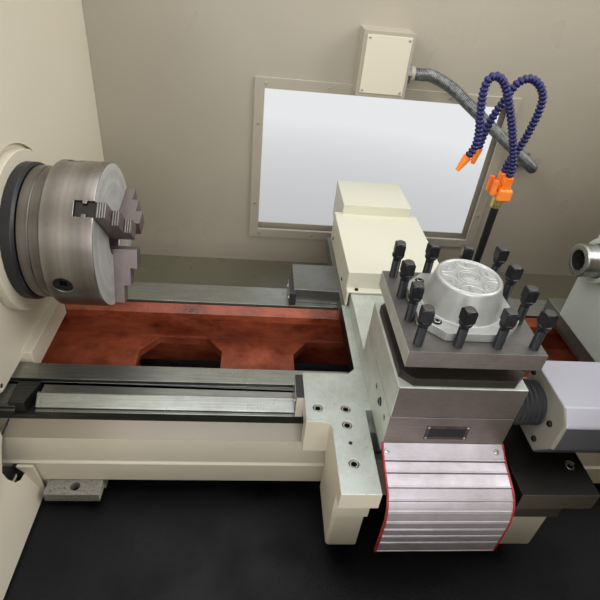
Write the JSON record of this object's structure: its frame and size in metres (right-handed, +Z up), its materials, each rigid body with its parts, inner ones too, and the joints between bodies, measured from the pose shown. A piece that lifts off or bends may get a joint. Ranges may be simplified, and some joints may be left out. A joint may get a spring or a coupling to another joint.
{
  "type": "cnc turning lathe",
  "caption": "Flat-bed turning lathe with a jaw chuck, indexing tool turret, coolant hoses, tailstock and a sheet guard with a sliding door.",
  "frame": {"origin": "middle of the machine's outline on the floor", "axes": "+X along the spindle from chuck to tailstock, +Y away from the operator, +Z up"},
  "size_m": [2.37, 1.3, 1.7],
  "materials": {
    "cream_paint": "satin cream paint",
    "bed_casting": "cream painted casting with ground ways",
    "black_paint": "grainy black paint",
    "bearing_steel": "ground",
    "spindle_steel": "turned and ground",
    "chuck_steel": "turned and ground",
    "slide_iron": "scraped and ground",
    "turret_steel": "ground",
    "black_oxide": "black oxide",
    "cast_aluminium": "bead blasted",
    "slat_aluminium": "anodised",
    "grey_green_paint": "satin paint",
    "blue_hose": "segmented hose",
    "orange_plastic": "moulded",
    "belt_rubber": "matt",
    "conduit_steel": "wound strip",
    "window_glass": "clear",
    "red_plastic": "moulded",
    "green_plastic": "moulded",
    "black_plastic": "moulded"
  },
  "bodies": {
    "frame": {"base": "cream_paint", "chip_tray": "black_paint", "bed": "bed_casting", "headstock": "cream_paint", "headstock_cover": "cream_paint", "spindle_bearing_front": "bearing_steel", "spindle_bearing_rear": "bearing_steel", "nose_cap": "black_paint", "spindle_motor": "black_paint", "drive_belt": "belt_rubber", "rear_guard": "cream_paint", "left_guard": "cream_paint", "right_guard": "cream_paint", "front_frame": "cream_paint", "conduit": "conduit_steel", "feed_servo": "black_paint"},
    "spindle": {"spindle": "spindle_steel", "backplate": "chuck_steel", "chuck_body": "chuck_steel"},
    "scroll": {"scroll": "chuck_steel"},
    "jaw_1": {"chuck_jaw_1": "chuck_steel"},
    "jaw_2": {"chuck_jaw_2": "chuck_steel"},
    "jaw_3": {"chuck_jaw_3": "chuck_steel"},
    "pinion_1": {"pinion_1": "black_oxide"},
    "pinion_2": {"pinion_2": "black_oxide"},
    "pinion_3": {"pinion_3": "black_oxide"},
    "motor": {"motor_pulley": "spindle_steel"},
    "carriage": {"saddle": "slide_iron", "apron": "cream_paint", "cross_cover": "cream_paint", "cross_servo": "black_paint", "coolant_riser": "black_oxide", "coolant_valve": "orange_plastic", "coolant_hose_1": "blue_hose", "coolant_hose_2": "blue_hose", "coolant_nozzle_1": "orange_plastic", "coolant_nozzle_2": "orange_plastic"},
    "tap_1": {"coolant_tap_1": "orange_plastic"},
    "tap_2": {"coolant_tap_2": "orange_plastic"},
    "feed_screw": {"feed_screw": "spindle_steel"},
    "cross_screw": {"cross_screw": "spindle_steel"},
    "slide": {"cross_slide": "slide_iron", "turret_base": "slide_iron", "turret_motor": "cast_aluminium", "slat_cover": "slat_aluminium"},
    "turret": {"turret_head": "turret_steel", "turret_cap": "cast_aluminium"},
    "tailstock": {"tailstock_base": "slide_iron", "tailstock_body": "grey_green_paint"},
    "quill": {"quill": "spindle_steel"},
    "handwheel": {"handwheel": "cast_aluminium"},
    "quill_lock": {"quill_lock": "black_oxide"},
    "tail_clamp": {"tail_clamp": "black_oxide"},
    "door": {"door": "cream_paint", "door_window": "window_glass"},
    "panel": {"control_panel": "cream_paint"},
    "stop_knob": {"stop_knob": "red_plastic"},
    "feed_knob": {"feed_knob": "black_plastic"},
    "start_button": {"start_button": "green_plastic"},
    "hold_button": {"hold_button": "red_plastic"}
  },
  "joints": [
    {"name": "spindle_spin", "type": "hinge", "parent": "frame", "child": "spindle", "pos_m": [-0.335, 0.05, 1.1], "axis": [1, 0, 0], "continuous": true},
    {"name": "motor_spin", "type": "hinge", "parent": "frame", "child": "motor", "pos_m": [-1.035, 0.41, 1.05], "axis": [1, 0, 0], "continuous": true},
    {"name": "scroll_turn", "type": "hinge", "parent": "spindle", "child": "scroll", "pos_m": [-0.38, 0.05, 1.1], "axis": [1, 0, 0], "range_deg": [-430, 430]},
    {"name": "jaw_1_slide", "type": "slide", "parent": "spindle", "child": "jaw_1", "axis": [0, -0.6691, 0.7431], "range_m": [-0.012, 0.012]},
    {"name": "jaw_2_slide", "type": "slide", "parent": "spindle", "child": "jaw_2", "axis": [0, 0.9781, 0.2079], "range_m": [-0.012, 0.012]},
    {"name": "jaw_3_slide", "type": "slide", "parent": "spindle", "child": "jaw_3", "axis": [0, -0.309, -0.9511], "range_m": [-0.012, 0.012]},
    {"name": "pinion_1_turn", "type": "hinge", "parent": "spindle", "child": "pinion_1", "pos_m": [-0.3895, 0.08399, 1.20462], "axis": [0, 0.309, 0.9511], "range_deg": [-1725, 1725]},
    {"name": "pinion_2_turn", "type": "hinge", "parent": "spindle", "child": "pinion_2", "pos_m": [-0.3895, 0.1236, 1.01825], "axis": [0, 0.6691, -0.7431], "range_deg": [-1725, 1725]},
    {"name": "pinion_3_turn", "type": "hinge", "parent": "spindle", "child": "pinion_3", "pos_m": [-0.3895, -0.0576, 1.07713], "axis": [0, -0.9781, -0.2079], "range_deg": [-1725, 1725]},
    {"name": "carriage_slide", "type": "slide", "parent": "frame", "child": "carriage", "axis": [1, 0, 0], "range_m": [-0.38, 0.09]},
    {"name": "feed_screw_turn", "type": "hinge", "parent": "frame", "child": "feed_screw", "pos_m": [-0.335, 0.275, 0.8], "axis": [1, 0, 0], "range_deg": [-13690, 3250]},
    {"name": "cross_slide_travel", "type": "slide", "parent": "carriage", "child": "slide", "axis": [0, 1, 0], "range_m": [-0.09, 0.11]},
    {"name": "cross_screw_turn", "type": "hinge", "parent": "carriage", "child": "cross_screw", "pos_m": [0.213, 0.05, 0.914], "axis": [0, 1, 0], "range_deg": [-6490, 7930]},
    {"name": "turret_index", "type": "hinge", "parent": "slide", "child": "turret", "pos_m": [0.213, -0.177, 1.1], "axis": [0, 0, 1], "continuous": true},
    {"name": "tap_1_turn", "type": "hinge", "parent": "carriage", "child": "tap_1", "pos_m": [0.325, 0.02, 1.239], "axis": [1, 0, 0], "range_deg": [0, 90]},
    {"name": "tap_2_turn", "type": "hinge", "parent": "carriage", "child": "tap_2", "pos_m": [0.325, 0.04, 1.239], "axis": [-1, 0, 0], "range_deg": [0, 90]},
    {"name": "tailstock_slide", "type": "slide", "parent": "frame", "child": "tailstock", "axis": [1, 0, 0], "range_m": [-0.08, 0.12]},
    {"name": "handwheel_turn", "type": "hinge", "parent": "tailstock", "child": "handwheel", "pos_m": [0.93, 0.05, 1.1], "axis": [1, 0, 0], "range_deg": [-5750, 2300]},
    {"name": "quill_slide", "type": "slide", "parent": "tailstock", "child": "quill", "axis": [1, 0, 0], "range_m": [-0.08, 0.032]},
    {"name": "quill_lock_turn", "type": "hinge", "parent": "tailstock", "child": "quill_lock", "pos_m": [0.655, 0.05, 1.16], "axis": [0, 0, 1], "range_deg": [0, 60]},
    {"name": "tail_clamp_turn", "type": "hinge", "parent": "tailstock", "child": "tail_clamp", "pos_m": [0.735, 0.125, 1.04], "axis": [0, 1, 0], "range_deg": [0, 60]},
    {"name": "door_slide", "type": "slide", "parent": "frame", "child": "door", "axis": [1, 0, 0], "range_m": [-0.78, 0]},
    {"name": "panel_swing", "type": "hinge", "parent": "frame", "child": "panel", "pos_m": [-1.035, -0.535, 1.35], "axis": [0, 0, -1], "range_deg": [0, 60]},
    {"name": "stop_knob_press", "type": "slide", "parent": "panel", "child": "stop_knob", "axis": [0, 1, 0], "range_m": [0, 0.004], "stiffness_N_per_m": 400},
    {"name": "start_button_press", "type": "slide", "parent": "panel", "child": "start_button", "axis": [0, 1, 0], "range_m": [0, 0.004], "stiffness_N_per_m": 400},
    {"name": "hold_button_press", "type": "slide", "parent": "panel", "child": "hold_button", "axis": [0, 1, 0], "range_m": [0, 0.004], "stiffness_N_per_m": 400},
    {"name": "feed_knob_turn", "type": "hinge", "parent": "panel", "child": "feed_knob", "pos_m": [-0.755, -0.62, 1.22], "axis": [0, 1, 0], "range_deg": [-135, 135]}
  ],
  "couplings": [
    {"joint": "motor_spin", "follows": "spindle_spin", "ratio": 1.5},
    {"joint": "jaw_1_slide", "follows": "scroll_turn", "m_per_rad": 0.0015915},
    {"joint": "jaw_2_slide", "follows": "scroll_turn", "m_per_rad": 0.0015915},
    {"joint": "jaw_3_slide", "follows": "scroll_turn", "m_per_rad": 0.0015915},
    {"joint": "pinion_1_turn", "follows": "scroll_turn", "ratio": 4},
    {"joint": "pinion_2_turn", "follows": "scroll_turn", "ratio": 4},
    {"joint": "pinion_3_turn", "follows": "scroll_turn", "ratio": 4},
    {"joint": "feed_screw_turn", "follows": "carriage_slide", "rad_per_m": 628.32},
    {"joint": "cross_screw_turn", "follows": "cross_slide_travel", "rad_per_m": 1256.6},
    {"joint": "quill_slide", "follows": "handwheel_turn", "m_per_rad": 0.00079577}
  ]
}
